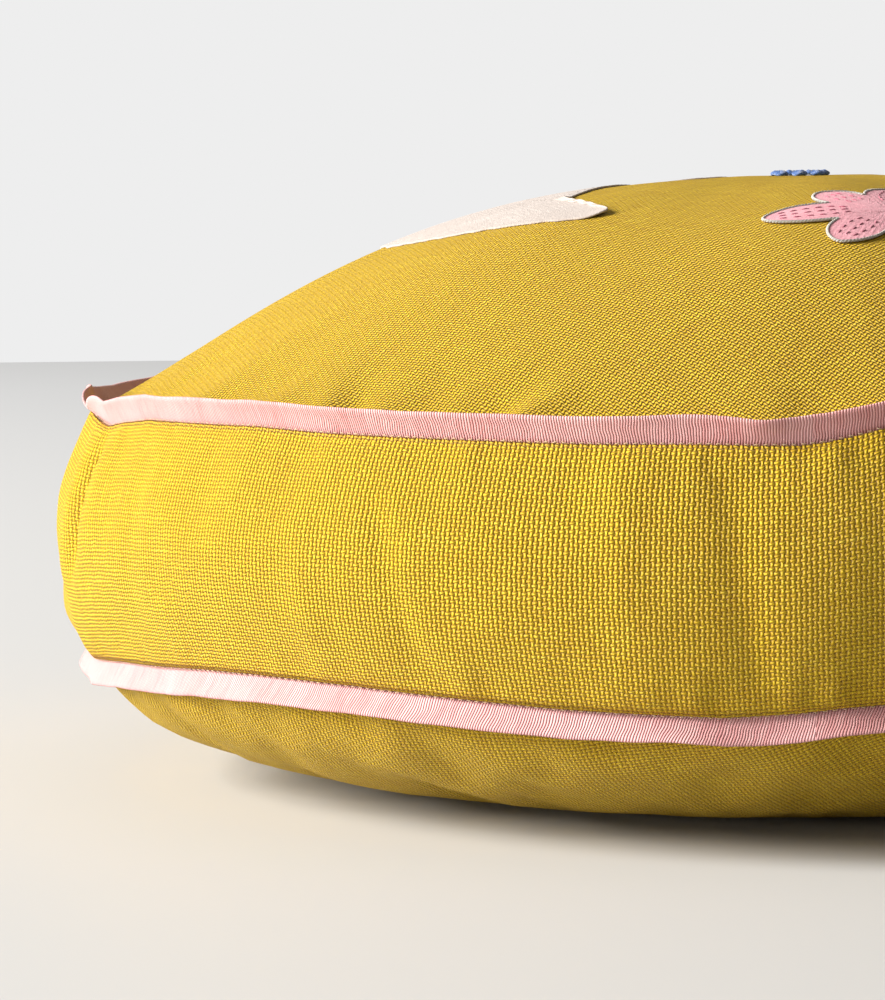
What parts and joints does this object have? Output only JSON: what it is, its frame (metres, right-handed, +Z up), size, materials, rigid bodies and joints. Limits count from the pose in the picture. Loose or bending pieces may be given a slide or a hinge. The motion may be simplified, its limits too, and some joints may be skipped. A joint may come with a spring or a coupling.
{
  "type": "floor cushion",
  "caption": "Round boxed floor cushion: coarse linen cover with flanged ribbon seams, felt flowers on its crown, a zip in the back of the side band and a stuffed insert.",
  "frame": {"origin": "middle of the flat on which the cushion rests on the floor", "axes": "+Z up through the crown; +Y towards the middle of the zip, at the back; the pink flower faces -Y"},
  "size_m": [0.61, 0.6106, 0.2369],
  "materials": {
    "cover_linen": "coarse plain-weave linen, matt",
    "ribbon_pink": "ribbed grosgrain ribbon, soft sheen",
    "seam_thread": "twisted polyester sewing thread",
    "cover_thread": "twisted polyester sewing thread",
    "zip_tape": "woven polyester zip tape",
    "zip_coil": "moulded nylon coil",
    "zip_metal": "nickel-plated zinc, satin",
    "insert_calico": "plain white calico",
    "insert_thread": "white sewing thread",
    "insert_filling": "loose polyester fibre",
    "felt_cream": "pressed wool felt",
    "felt_pink": "pressed wool felt",
    "cord_cream": "fine twisted cotton cord",
    "thread_cream": "stranded cotton",
    "thread_rose": "stranded cotton",
    "yarn_blue": "thick cotton yarn"
  },
  "bodies": {
    "cushion": {"top_panel": "cover_linen", "bottom_panel": "cover_linen", "front_band": "cover_linen", "zip_band_upper": "cover_linen", "zip_band_lower": "cover_linen", "top_ribbon": "ribbon_pink", "bottom_ribbon": "ribbon_pink", "top_seam_thread": "seam_thread", "bottom_seam_thread": "seam_thread", "band_join_thread": "cover_thread", "zip_topstitching": "cover_thread", "zip_tape_upper": "zip_tape", "zip_tape_lower": "zip_tape", "zip_coil_upper": "zip_coil", "zip_coil_lower": "zip_coil", "zip_top_stops": "zip_metal", "zip_bottom_stop": "zip_metal", "insert_top": "insert_calico", "insert_side": "insert_calico", "insert_bottom": "insert_calico", "insert_seam_thread": "insert_thread", "filling": "insert_filling", "cream_flower": "felt_cream", "cream_flower_stitches": "thread_cream", "pink_flower": "felt_pink", "pink_flower_cord": "cord_cream", "pink_flower_stitches": "thread_rose", "blue_knots": "yarn_blue"},
    "slider": {"zip_slider": "zip_metal"},
    "pull": {"zip_pull": "zip_metal"}
  },
  "joints": [
    {"name": "slider_travel", "type": "hinge", "parent": "cushion", "child": "slider", "pos_m": [0, 0, 0.102], "axis": [0, 0, 1], "range_deg": [0, 93]},
    {"name": "pull_swing", "type": "hinge", "parent": "slider", "child": "pull", "pos_m": [0.22361, 0.20986, 0.102], "axis": [0, 0, 1], "range_deg": [0, 170]}
  ]
}
